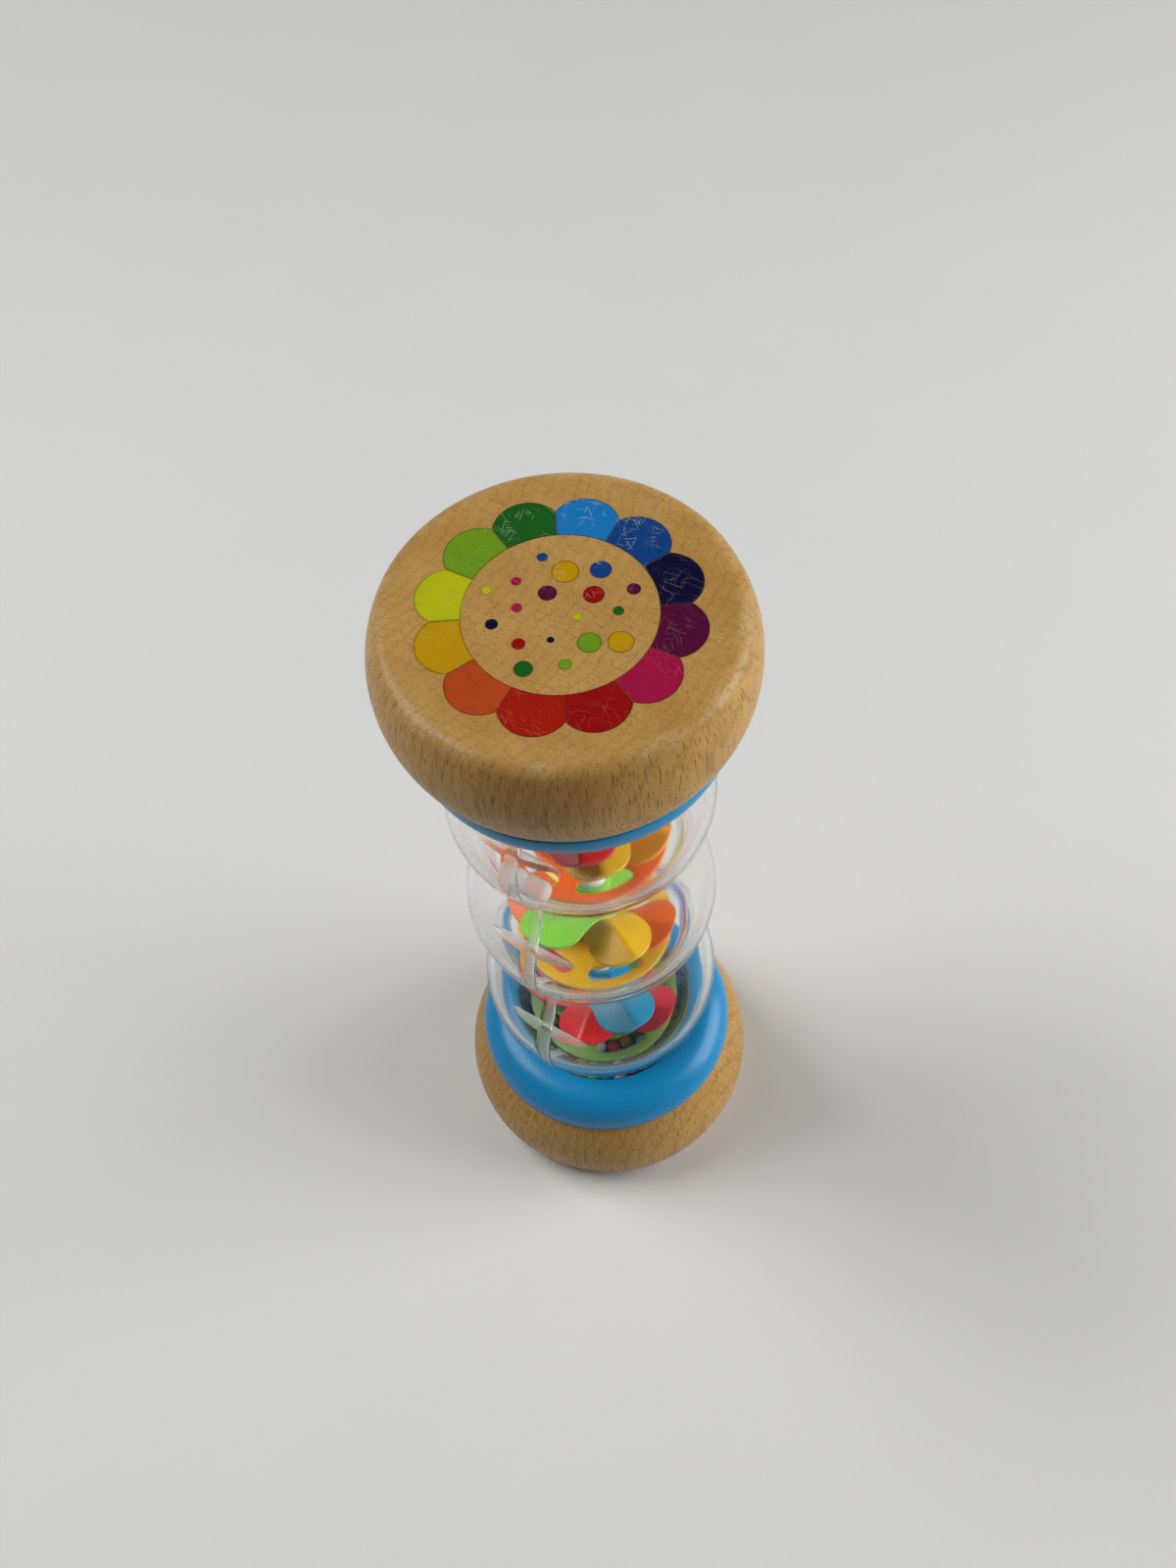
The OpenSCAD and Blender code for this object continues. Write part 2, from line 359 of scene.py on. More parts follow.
def shader_mix(factor, first, second):
    """One shader that goes over into another."""
    return factor.node("ShaderNodeMixShader", None, {0: factor, 1: first, 2: second})


def show(made, shader):
    """Lets a mixed shader be what the material shows."""
    connect(made.node_tree.nodes["Material Output"].inputs["Surface"], shader)


def millimetres(field):
    """The place on a piece, in millimetres."""
    place = field.node("ShaderNodeTexCoord", output="Object")
    return place.vector("MULTIPLY", (1 / MM, 1 / MM, 1 / MM))


def bump(height, depth):
    """Normals of a relief of this depth in millimetres."""
    sockets = {"Height": height, "Strength": 1, "Distance": depth * MM}
    return height.node("ShaderNodeBump", None, sockets)


WOOD_PALE = (0.48, 0.28, 0.078)
WOOD_WARM = (0.41, 0.22, 0.05)
WOOD_LATE = (0.24, 0.115, 0.03)
WOOD_RAY = (0.1, 0.042, 0.011)
WOOD_WORN = (0.66, 0.52, 0.33)
# The bark lies this way from the toy's axis, and the middle of the tree on the other side
BARK_TURN = 50
TREE_R = 95
RING_W = 2.1


def beech():
    """Turned beech: growth rings, pores, short dark dashes of the rays on the sides, and a worn edge."""
    made, shader, field = material("beech", {"Coat Roughness": 0.28, "Specular IOR Level": 0.12})
    point = millimetres(field)
    to_bark = math.radians(BARK_TURN - 90)
    grain = field.node("ShaderNodeMapping", None, {"Vector": point, "Rotation": (0, 0, -to_bark)})
    normal = field.node("ShaderNodeTexCoord", output="Normal")
    upright = normal.node("ShaderNodeSeparateXYZ", None, {0: normal}, output="Z")
    end_grain = upright.math("ABSOLUTE").step(0.7, 1)
    mottle = noise(grain, (0.09, 0.12, 0.03), detail=3)
    flat = grain.vector("MULTIPLY", (1, 1, 0)).vector("ADD", (TREE_R, 0, 0))
    tree_r = flat.vector("LENGTH", output=1) + mottle * 5
    ring = (tree_r / RING_W).math("FRACT").step(0.6, 1.0) * (0.32 - end_grain * 0.1)
    pores = noise(grain, (2.0, 2.4, 0.12), detail=3).step(0.48, 0.72)
    ray_ends = noise(grain, (0.16, 1.5, 0.3), detail=2).step(0.5, 0.72) * end_grain
    dashes = ray_dashes(point) * (1 - end_grain)
    fibre = noise(grain, (1.2, 1.6, 0.05), detail=3)
    colour = blend(mottle.step(0.3, 0.7), WOOD_WARM, WOOD_PALE)
    colour = blend(fibre.step(0.35, 0.75) * 0.35, colour, WOOD_PALE)
    streaks = noise(grain, (2.6, 3.2, 0.09), detail=4).step(0.46, 0.7) * (1 - end_grain)
    colour = blend(ring + streaks * 0.22, colour, WOOD_LATE)
    colour = blend(pores * 0.5 + ray_ends * 0.22, colour, WOOD_LATE)
    colour = blend(dashes * 0.85, colour, WOOD_RAY)
    worn = edge_wear(point)
    connect(shader.inputs["Base Color"], blend(worn * 0.5, colour, WOOD_WORN))
    connect(shader.inputs["Roughness"], 0.38 + pores * 0.1 + worn * 0.15)
    connect(shader.inputs["Coat Weight"], 0.15 - worn * 0.1)
    relief = pores * 0.5 + dashes + ray_ends * 0.3 + fibre * 0.5
    connect(shader.inputs["Normal"], bump(0 - relief, 0.03))
    return made


def ray_dashes(point):
    """Short upright dashes where the rays of the wood come out on the turned side."""
    split = point.node("ShaderNodeSeparateXYZ", None, {0: point}, output="X")
    around = split.math("ARCTAN2", 0 - split.output("Y")) * END_R
    unrolled = split.node("ShaderNodeCombineXYZ", None, {"X": split.output("Z"), "Y": around})
    large = scratches(unrolled, turn=0, length=4, spacing=1.1, width=0.11, share=0.8)
    small = scratches(unrolled, turn=0, length=3, spacing=0.5, width=0.07, share=0.8)
    return large.math("MAXIMUM", small * 0.6)


def edge_wear(point):
    """Where the lacquer is rubbed thin, along the rounding between side and flat face."""
    edge_r = END_R - 3.4
    edge_z = 1.1
    reach = 2.2
    across = point.vector("MULTIPLY", (1, 1, 0)).vector("LENGTH", output=1)
    split = point.node("ShaderNodeSeparateXYZ", None, {"Vector": point}, output="Z")
    level = split.math("MINIMUM", TOTAL_H - split)
    off_r = across - edge_r
    off_z = level - edge_z
    near = (off_r * off_r + off_z * off_z).math("SQRT").step(reach, 0.2)
    patchy = noise(point, (0.11, 0.11, 0.11), detail=2).step(0.42, 0.66)
    streaky = noise(point, (1.6, 1.6, 3.5), detail=4).step(0.4, 0.65)
    return near * patchy * (0.2 + streaky * 0.8)


def printed_ink():
    """Lacquer ink with a darker edge, scratched down to the pale wood here and there."""
    made, shader, field = material("printed_ink", {"Specular IOR Level": 0.08})
    point = millimetres(field)
    colour = field.node("ShaderNodeAttribute", {"attribute_name": "ink"}, output="Color")
    edge = field.node("ShaderNodeAttribute", {"attribute_name": "edge"}, output="Fac")
    shade = noise(point, (0.35, 0.35, 0.35), detail=3)
    colour = blend(edge * 0.5, colour, (0.03, 0.012, 0.01))
    colour = blend(shade.step(0.4, 0.75) * 0.3, colour, (0.7, 0.7, 0.7), "MULTIPLY")
    bend = noise(point, (0.2, 0.2, 0.2)).output("Color").vector("MULTIPLY", (2.5, 2.5, 0))
    bent = point.vector("ADD", bend)
    marks = scratches(bent, turn=35, length=6, spacing=0.6, width=0.045, share=0.5)
    for turn, length, share in ((-62, 4.5, 0.45), (8, 3, 0.4), (78, 5, 0.4)):
        more = scratches(bent, turn, length, spacing=0.5, width=0.04, share=share)
        marks = marks.math("MAXIMUM", more)
    rubbed = point.vector("DISTANCE", (*RUBBED_SPOT, TOTAL_H), output=1).step(24, 4)
    clumps = noise(point, (0.22, 0.22, 0.22), detail=2).step(0.42, 0.62)
    marks = marks * (0.03 + clumps * 0.12 + clumps * rubbed * 0.75)
    connect(shader.inputs["Base Color"], blend(marks, colour, (0.62, 0.58, 0.5)))
    connect(shader.inputs["Roughness"], 0.26 + marks * 0.3 + shade * 0.06)
    connect(shader.inputs["Normal"], bump(shade * 0.3 - marks, 0.02))
    return made


def clear_plastic():
    """Clear moulded plastic, slightly smudged and frosted along the seam, that lets the lamps through."""
    constants = {"Base Color": (0.975, 0.98, 0.975, 1), "IOR": 1.13, "Transmission Weight": 1,
                 "Coat Weight": 0.14, "Coat Roughness": 0.05}
    made, shader, field = material("clear_plastic", constants)
    point = millimetres(field)
    frost = field.node("ShaderNodeAttribute", {"attribute_name": "frost"}, output="Fac")
    smudge = noise(point, (0.08, 0.08, 0.05), detail=3).step(0.45, 0.7)
    flow = noise(point, (0.06, 0.06, 0.02), detail=1)
    connect(shader.inputs["Roughness"], 0.06 + smudge * 0.08 + frost * 0.4)
    connect(shader.inputs["Normal"], bump(flow, 0.05))
    pale = field.node("ShaderNodeBsdfDiffuse", None, {"Color": (0.72, 0.73, 0.72, 1)})
    body = shader_mix(frost * 0.25, Field(field.tree, shader.outputs[0]), pale)
    to_lamp = field.node("ShaderNodeLightPath", output="Is Shadow Ray")
    through = field.node("ShaderNodeBsdfTransparent", None, {"Color": (0.76, 0.765, 0.76, 1)})
    show(made, shader_mix(to_lamp, body, through))
    return made


def clear_weld():
    """The faces where the two clear halves are welded, which bend no light."""
    return material("clear_weld", {"Alpha": 0})[0]


def plastic(name, colour):
    """Glossy moulded plastic with faint flow marks and fine handling scratches."""
    made, shader, field = material(name, {"Specular IOR Level": 0.27})
    point = millimetres(field)
    flow = noise(point, (0.05, 0.05, 0.12), detail=3)
    grit = noise(point, (2.5, 2.5, 2.5), detail=2)
    darker = [channel * 0.72 for channel in colour]
    marks = scratches(point, turn=25, length=9, spacing=3, width=0.05, share=0.4)
    tone = blend(flow.step(0.3, 0.75) * 0.45, colour, darker)
    connect(shader.inputs["Base Color"], blend(marks * 0.08, tone, (0.8, 0.8, 0.8)))
    connect(shader.inputs["Roughness"], 0.22 + flow * 0.08 + grit * 0.05 + marks * 0.2)
    connect(shader.inputs["Normal"], bump(grit * 0.5 + flow * 4 - marks, 0.012))
    return made


PLASTICS = {
    "sky_blue_plastic": (0.001, 0.23, 0.5),
    "white_plastic": (0.78, 0.78, 0.76),
    "red_plastic": (0.52, 0.005, 0.008),
    "crimson_plastic": (0.48, 0.01, 0.03),
    "orange_plastic": (0.75, 0.12, 0.006),
    "amber_plastic": (0.82, 0.34, 0.012),
    "yellow_plastic": (0.66, 0.38, 0.006),
    "green_plastic": (0.12, 0.24, 0.05),
    "lime_plastic": (0.19, 0.52, 0.05),
    "blue_plastic": (0.005, 0.21, 0.38),
}

finishes = {name: plastic(name, colour) for name, colour in PLASTICS.items()}
finishes["beech"] = beech()
finishes["clear_plastic"] = clear_plastic()
finishes["clear_weld"] = clear_weld()
finishes["printed_ink"] = printed_ink()


# Mesh tools


def arc(centre, radius, start, end, steps):
    """Points on a circle, from one angle to another in radians."""
    x, y = centre
    turn = (end - start) / steps
    angles = [start + turn * k for k in range(steps + 1)]
    return [(x + radius * math.cos(angle), y + radius * math.sin(angle)) for angle in angles]


def rounded(corners, steps=CORNER_STEPS):
    """An outline through corners (x, y, rounding), each rounded by an arc of that radius."""
    outline = []
    for k, (x, y, radius) in enumerate(corners):
        corner = Vector((x, y))
        before = (Vector(corners[k - 1][:2]) - corner).normalized()
        after = (Vector(corners[(k + 1) % len(corners)][:2]) - corner).normalized()
        if radius == 0:
            outline.append((x, y))
            continue
        half = before.angle(after) / 2
        centre = corner + (before + after).normalized() * radius / math.sin(half)
        from_side = corner + before * radius / math.tan(half) - centre
        turn = from_side.angle_signed(corner + after * radius / math.tan(half) - centre)
        start = math.atan2(from_side.y, from_side.x)
        outline += arc(centre, radius, start, start - turn, steps)
    return outline


def added(name, data):
    """A new object in the scene, with this mesh, light or camera."""
    made = bpy.data.objects.new(name, data)
    bpy.context.scene.collection.objects.link(made)
    return made


def write_mesh(bm, mesh):
    """Fills a mesh, without slivers and with its faces pointing outwards."""
    bmesh.ops.dissolve_degenerate(bm, edges=bm.edges, dist=MERGE)
    bmesh.ops.recalc_face_normals(bm, faces=bm.faces)
    bm.to_mesh(mesh)
    bm.free()


def new_piece(name, bm):
    """An object with this mesh, its doubles merged."""
    bmesh.ops.remove_doubles(bm, verts=bm.verts, dist=MERGE)
    mesh = bpy.data.meshes.new(name)
    write_mesh(bm, mesh)
    return added(name, mesh)


def plain_mesh(obj):
    """Turns what the object's modifiers make into its plain mesh."""
    graph = bpy.context.evaluated_depsgraph_get()
    obj.data = bpy.data.meshes.new_from_object(obj.evaluated_get(graph))
    obj.modifiers.clear()
    return obj


def worked(obj, kind, **settings):
    """Runs one modifier on a piece."""
    modifier = obj.modifiers.new(kind, kind)
    for name, value in settings.items():
        setattr(modifier, name, value)
    return plain_mesh(obj)


def eased(obj, edge, segments, sharp):
    """Rounds the edges of a piece that turn by more than an angle in radians."""
    return worked(obj, "BEVEL", width=edge * MM, segments=segments, limit_method="ANGLE", angle_limit=sharp)


def combined(base, other, operation):
    """Adds another solid to a piece, or cuts it out."""
    worked(base, "BOOLEAN", operation=operation, solver="EXACT", object=other)
    bpy.data.objects.remove(other)
    return base


def lathe(name, outline, steps):
    """A turned piece, from the closed outline (distance from the axis, height) of its half section."""
    bm = bmesh.new()
    ring = [bm.verts.new((r * MM, 0, z * MM)) for r, z in outline]
    off_axis = [k for k in range(len(ring)) if max(outline[k - 1][0], outline[k][0]) > MERGE]
    edges = [bm.edges.new((ring[k - 1], ring[k])) for k in off_axis]
    bmesh.ops.spin(bm, geom=ring + edges, axis=(0, 0, 1), cent=(0, 0, 0), angle=2 * math.pi, steps=steps)
    return new_piece(name, bm)


def prism(name, outline, low, high):
    """An upright solid over an outline."""
    bm = bmesh.new()
    loops = [[bm.verts.new((x * MM, y * MM, z * MM)) for x, y in outline] for z in (low, high)]
    for loop in loops:
        bm.faces.new(loop)
    for k in range(len(outline)):
        bm.faces.new((loops[0][k - 1], loops[0][k], loops[1][k], loops[1][k - 1]))
    return new_piece(name, bm)


def shaded(obj):
    """Smooth shading, but for the sharp edges."""
    obj.data.shade_smooth()
    obj.data.set_sharp_from_angle(angle=SHARP_ANGLE)
    return obj


def geometry_tree(name, inputs):
    """A Geometry Nodes tree with named inputs, their fields and the socket for its result."""
    tree = bpy.data.node_groups.new(name, "GeometryNodeTree")
    for label, kind in inputs.items():
        tree.interface.new_socket(label, in_out="INPUT", socket_type="NodeSocket" + kind)
    tree.interface.new_socket("Geometry", in_out="OUTPUT", socket_type="NodeSocketGeometry")
    given = tree.nodes.new("NodeGroupInput")
    result = tree.nodes.new("NodeGroupOutput")
    return tree, {label: Field(tree, given.outputs[label]) for label in inputs}, result.inputs[0]


def grown(obj, tree, values):
    """Runs a Geometry Nodes tree on an object, with its named inputs set."""
    modifier = obj.modifiers.new(tree.name, "NODES")
    modifier.node_group = tree
    for item in tree.interface.items_tree:
        if item.in_out == "INPUT" and item.name in values:
            modifier[item.identifier] = values[item.name]
    return plain_mesh(obj)


def finish_tree(result, geometry, finish):
    """Ends a Geometry Nodes tree with real geometry in one material."""
    real = geometry.node("GeometryNodeRealizeInstances", None, {"Geometry": geometry})
    sockets = {"Geometry": real, "Material": finish}
    connect(result, real.node("GeometryNodeSetMaterial", None, sockets))


def seated_copies_tree():
    """Copies of one shape on the points of a mesh, each turned, sized and coloured as its point says."""
    inputs = {"Geometry": "Geometry", "Shape": "Object", "Material": "Material"}
    tree, given, result = geometry_tree("seated_copies", inputs)
    field = given["Shape"]
    shape = field.node("GeometryNodeObjectInfo", None, {"Object": field}, output="Geometry")
    turn = field.node("GeometryNodeInputNamedAttribute", {"data_type": "FLOAT"}, {"Name": "turn"})
    size = field.node("GeometryNodeInputNamedAttribute", {"data_type": "FLOAT"}, {"Name": "size"})
    turns = field.node("ShaderNodeCombineXYZ", None, {"Z": turn})
    scale = field.node("ShaderNodeCombineXYZ", None, {"X": size, "Y": size, "Z": 1.0})
    sockets = {"Points": given["Geometry"], "Instance": shape, "Rotation": turns, "Scale": scale}
    copies = field.node("GeometryNodeInstanceOnPoints", None, sockets)
    finish_tree(result, copies, given["Material"])
    return tree


def seated_copies(name, shape, seats, finish):
    """Copies of a shape on seats, each a place in millimetres, a turn, a size and a colour."""
    mesh = bpy.data.meshes.new(name)
    mesh.from_pydata([Vector(seat[0]) * MM for seat in seats], [], [])
    for label, part in (("turn", 1), ("size", 2)):
        values = [seat[part] for seat in seats]
        mesh.attributes.new(label, "FLOAT", "POINT").data.foreach_set("value", values)
    inks = [channel for seat in seats for channel in solid(seat[3])]
    mesh.attributes.new("ink", "FLOAT_COLOR", "POINT").data.foreach_set("color", inks)
    made = added(name, mesh)
    grown(made, copies_tree, {"Shape": shape, "Material": finish})
    bpy.data.objects.remove(shape)
    return made


copies_tree = seated_copies_tree()


# Fitting the pieces to the frame

BODY_OF = {node: body for body, nodes in frame["record"]["behaviour"]["bodies"].items() for node in nodes}


def place(piece, node, slot, upside_down=False, turn=0, lift=0):
    """Sets a piece in its place, gives it its finish and lets it stand for its CAD node."""
    if upside_down:
        piece.data.transform(Matrix.Translation((0, 0, TOTAL_H * MM)) @ Matrix.Scale(-1, 4, (0, 0, 1)))
        piece.data.flip_normals()
    piece.data.transform(Matrix.Translation((0, 0, lift * MM)) @ Matrix.Rotation(turn, 4, "Z"))
    piece.data.materials.clear()
    piece.data.materials.append(finishes[slot])
    shaded(piece)
    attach(piece, BODY_OF[node])
    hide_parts(node)


def from_front(azimuth):
    """The angle about Z, from +X, that points to an azimuth in degrees."""
    return math.radians(azimuth - 90)


# Wooden ends


def wooden_end(name, face_drop=0):
    """A turned knob: flat face, rounded side and a socket for the collar's spigot."""
    round_x = END_R - SIDE_R + math.sqrt((SIDE_R - FACE_ROUND) ** 2 - (SIDE_Z - FACE_ROUND) ** 2)
    join = math.atan2(FACE_ROUND - SIDE_Z, round_x - (END_R - SIDE_R))
    top = math.asin((END_H - SIDE_Z) / SIDE_R)
    socket_z = SPIGOT_Z - SOCKET_ROOM
    outline = [(0, face_drop), (FLOWER_OUT, face_drop)]
    outline += [(round_x - FACE_EASE, face_drop / 2)]
    outline += arc((round_x, FACE_ROUND), FACE_ROUND, -math.pi / 2, join, FACE_STEPS)
    outline += arc((END_R - SIDE_R, SIDE_Z), SIDE_R, join, top, SIDE_STEPS)[1:]
    outline += [(SPIGOT_R + GLUE_GAP, END_H), (SPIGOT_R + GLUE_GAP, socket_z), (0, socket_z)]
    return lathe(name, outline, steps=TURNED_STEPS)


place(wooden_end("lower_end_turning"), "lower_end", "beech")
place(wooden_end("upper_end_turning", INK_T), "upper_end", "beech", upside_down=True)


# Collars


def collar(name):
    """A moulded cup: spigot, flange, round shoulder, a seat for the clear body and a post for the axle."""
    shoulder_r = NECK_Z - END_H - FLANGE_H
    chamber_r = NECK_R - WALL
    spigot = [(0, SPIGOT_Z, 0), (SPIGOT_R, SPIGOT_Z, SPIGOT_EDGE), (SPIGOT_R, END_H, 0)]
    outline = rounded(spigot)
    flange = (COLLAR_R - FLANGE_EDGE, END_H + FLANGE_EDGE)
    outline += arc(flange, FLANGE_EDGE, -math.pi / 2, 0, CORNER_STEPS)
    outline += arc((COLLAR_R - shoulder_r, END_H + FLANGE_H), shoulder_r, 0, math.pi / 2, SHOULDER_STEPS)
    seat_r = NECK_R + GLUE_GAP
    outline += arc((seat_r + LIP_EDGE, NECK_Z - LIP_EDGE), LIP_EDGE, math.pi / 2, math.pi, CORNER_STEPS)
    outline += [(seat_r, SHELL_Z), (chamber_r, SHELL_Z), (chamber_r, FLOOR_Z), (POST_R, FLOOR_Z)]
    outline += arc((POST_R - LIP_EDGE, DISC_BOTTOM - LIP_EDGE), LIP_EDGE, 0, math.pi / 2, CORNER_STEPS)
    outline += [(AXLE_R + GLUE_GAP, DISC_BOTTOM), (AXLE_R + GLUE_GAP, FLOOR_Z), (0, FLOOR_Z)]
    return lathe(name, outline, steps=TURNED_STEPS)


place(collar("lower_collar_moulding"), "lower_collar", "sky_blue_plastic")
place(collar("upper_collar_moulding"), "upper_collar", "sky_blue_plastic", upside_down=True)


# Clear body


def wavy_half_tree():
    """Half of the clear wall, as one sheet that runs up its outer face and down its inner face."""
    lengths = ["Neck radius", "Bulge radius", "Crest radius", "Pitch", "Neck height", "Low end", "High end",
               "Wall", "Rib height", "Rib angle", "Rib fillet"]
    inputs = {"Columns": "Int", "Rows": "Int", "Material": "Material"}
    inputs.update({label: "Float" for label in lengths})
    tree, given, result = geometry_tree("wavy_half", inputs)
    columns = given["Columns"] + 2
    rows = given["Rows"] * 2 + 1
    sheet = columns.node("GeometryNodeMeshGrid", None, {"Size X": columns - 1, "Size Y": rows - 1,
                                                        "Vertices X": columns, "Vertices Y": rows})
    spot = columns.node("GeometryNodeInputPosition")
    column = columns.node("ShaderNodeSeparateXYZ", None, {0: spot}, output="X") + (columns - 1) / 2
    row = (columns.node("ShaderNodeSeparateXYZ", None, {0: spot}, output="Y") + (rows - 1) / 2) % (rows - 1)
    # Columns lie closer towards the seam, and one more on each side closes the sheet along it
    across = ((column - 1) / (given["Columns"] - 1)).math("MINIMUM", 1).math("MAXIMUM", 0)
    angle = (1 - (across * math.pi).math("COSINE")) * (math.pi / 2)
    from_seam = angle.math("MINIMUM", math.pi - angle)
    closing = (column < 0.5) + (column > columns - 1.5)
    inner = row > given["Rows"] - 0.5
    climb = row + inner * (given["Rows"] * 2 - 1 - row * 2)
    level = given["Low end"] + climb / (given["Rows"] - 1) * (given["High end"] - given["Low end"])
    top_neck = given["Low end"] + given["High end"] - given["Neck height"]
    between = (level > given["Neck height"]) * (level < top_neck)
    slope = ((from_seam - given["Rib angle"]) / given["Rib fillet"]).step(1.0, 0.0)
    thickness = given["Wall"] + given["Rib height"] * slope * between
    depth = thickness * (inner + closing * (0.5 - inner))
    # Round necks run into round bulges without a corner
    swell = given["Bulge radius"] - given["Neck radius"]
    half = given["Pitch"] / 2
    curves = (half * half + swell * swell) / (swell * 2)
    neck_curve = curves - given["Crest radius"]
    above_neck = (level - given["Neck height"]).math("MAXIMUM", 0)
    off_neck = above_neck.math("MINIMUM", top_neck - given["Neck height"]).math("PINGPONG", half)
    off_crest = half - off_neck
    neck_r = given["Neck radius"] + neck_curve - leg(neck_curve + depth, off_neck)
    crest_r = given["Bulge radius"] - given["Crest radius"] + leg(given["Crest radius"] - depth, off_crest)
    bulging = off_neck > (neck_curve + depth) * half / curves
    radius = (neck_r + bulging * (crest_r - neck_r)) * MM
    spot = columns.node("ShaderNodeCombineXYZ", None, {"X": radius * angle.math("COSINE"),
                                                       "Y": radius * angle.math("SINE"), "Z": level * MM})
    wall = columns.node("GeometryNodeSetPosition", None, {"Geometry": sheet, "Position": spot})
    wall = columns.node("GeometryNodeMergeByDistance", None, {"Geometry": wall, "Distance": MERGE})
    finish_tree(result, wall, given["Material"])
    return tree


def leg(longest, other):
    """The third side of a right-angled triangle."""
    return (longest * longest - other * other).math("SQRT")


def half_shell():
    """Half of the clear body, on the +Y side of its seam, with its ledges, bosses, peg and peg hole."""
    wall = new_piece("right_shell_moulding", bmesh.new())
    grown(wall, wavy_half_tree(), {
        "Columns": WALL_COLUMNS, "Rows": WALL_ROWS, "Material": finishes["clear_plastic"],
        "Neck radius": NECK_R, "Bulge radius": BULGE_R, "Crest radius": CREST_R, "Pitch": PITCH,
        "Neck height": NECK_Z, "Low end": SHELL_Z, "High end": TOTAL_H - SHELL_Z, "Wall": WALL,
        "Rib height": RIB_H, "Rib angle": RIB_W / BULGE_R, "Rib fillet": RIB_FILLET / BULGE_R})
    bm = bmesh.new()
    bm.from_mesh(wall.data)
    write_mesh(bm, wall.data)
    for bulge in range(BULGES):
        for side in (1, -1):
            combined(wall, seam_ledge(NECK_Z + (bulge + 0.5) * PITCH + LEDGE_RISE, side), "UNION")
    boss_z = NECK_Z + (BULGES - 0.5) * PITCH - BOSS_DROP
    for side in (1, -1):
        combined(wall, rod(side * BOSS_REACH, boss_z, BOSS_R, SEAM_GAP, BOSS_L, BOSS_EDGE), "UNION")
    combined(wall, rod(BOSS_REACH, boss_z, PEG_R, -PEG_L, 2 * SEAM_GAP, BOSS_EDGE), "UNION")
    peg_hole = rod(-BOSS_REACH, boss_z, PEG_R + GLUE_GAP, -SEAM_GAP, PEG_L + SEAM_GAP, BOSS_EDGE)
    combined(wall, peg_hole, "DIFFERENCE")
    mark_frost(wall)
    wall.data.transform(Matrix.Translation((0, SEAM_GAP / 2 * MM, 0)))
    return wall


def seam_ledge(level, side):
    """A flat ledge in a bulge, between the wall and a chord, that ends at the seam."""
    crest_x = BULGE_R - CREST_R
    inner_r = crest_x + math.sqrt((CREST_R - WALL) ** 2 - LEDGE_RISE ** 2)
    chord_x = inner_r * math.cos(LEDGE_ANGLE)
    buried_r = inner_r + WALL / 2
    start = math.asin(SEAM_GAP / buried_r)
    outline = arc((0, 0), buried_r, start, math.acos(chord_x / buried_r), LEDGE_STEPS)
    outline += [(chord_x, SEAM_GAP)]
    return prism("seam_ledge", [(side * x, y) for x, y in outline], level, level + LEDGE_T)


def rod(x, level, radius, low, high, edge):
    """A round rod along Y, with rounded ends."""
    outline = rounded([(0, low, 0), (radius, low, edge), (radius, high, edge), (0, high, 0)])
    made = lathe("rod", outline, steps=ROD_STEPS)
    made.data.transform(Matrix.Translation((x * MM, 0, level * MM)) @ Matrix.Rotation(-math.pi / 2, 4, "X"))
    return made


def inner_radius(level):
    """Distance of the clear wall's inner face from the axis, at a height."""
    half = PITCH / 2
    swell = BULGE_R - NECK_R
    curves = (half ** 2 + swell ** 2) / (2 * swell)
    neck_curve = curves - CREST_R
    off_neck = abs((level - NECK_Z + half) % PITCH - half)
    if off_neck > (neck_curve + WALL) * half / curves:
        return BULGE_R - CREST_R + math.sqrt((CREST_R - WALL) ** 2 - (half - off_neck) ** 2)
    return NECK_R + neck_curve - math.sqrt((neck_curve + WALL) ** 2 - off_neck ** 2)


def mark_frost(wall):
    """Marks the ribs, ledges and bosses inside the clear wall, which are duller than the wall itself."""
    marks = []
    for face in wall.data.polygons:
        level = face.center.z / MM
        inside = inner_radius(level) - face.center.xy.length / MM
        between = NECK_Z < level < TOTAL_H - NECK_Z
        marks.append(between * min(max((inside - FROST_FROM) / FROST_FADE, 0), 1))
    wall.data.attributes.new("frost", "FLOAT", "FACE").data.foreach_set("value", marks)


def weld_seam(piece, turn):
    """Gives the faces along the seam their own finish."""
    piece.data.materials.append(finishes["clear_weld"])
    across = Matrix.Rotation(turn, 3, "Z") @ Vector((0, 1, 0))
    for face in piece.data.polygons:
        if face.normal.dot(across) < -SEAM_FACING and abs(face.center.dot(across)) < 2 * SEAM_GAP * MM:
            face.material_index = 1


right_shell = half_shell()
left_shell = added("left_shell_moulding", right_shell.data.copy())
shells = [(right_shell, "right_shell", SEAM_TURN), (left_shell, "left_shell", SEAM_TURN + 180)]
for shell, node, azimuth in shells:
    place(shell, node, "clear_plastic", turn=from_front(azimuth))
    weld_seam(shell, from_front(azimuth))


# Axle, sleeves and discs


def tube(name, bore, radius, low, high, edge):
    """A turned rod or sleeve with rounded edges."""
    corners = [(bore, low, 0), (radius, low, edge), (radius, high, edge), (bore, high, 0)]
    return lathe(name, rounded(corners), steps=TUBE_STEPS)


def spoke(bm, angle, radii):
    """New points on a line from the axis, at these distances."""
    return [bm.verts.new((r * math.cos(angle) * MM, r * math.sin(angle) * MM, 0)) for r in radii]


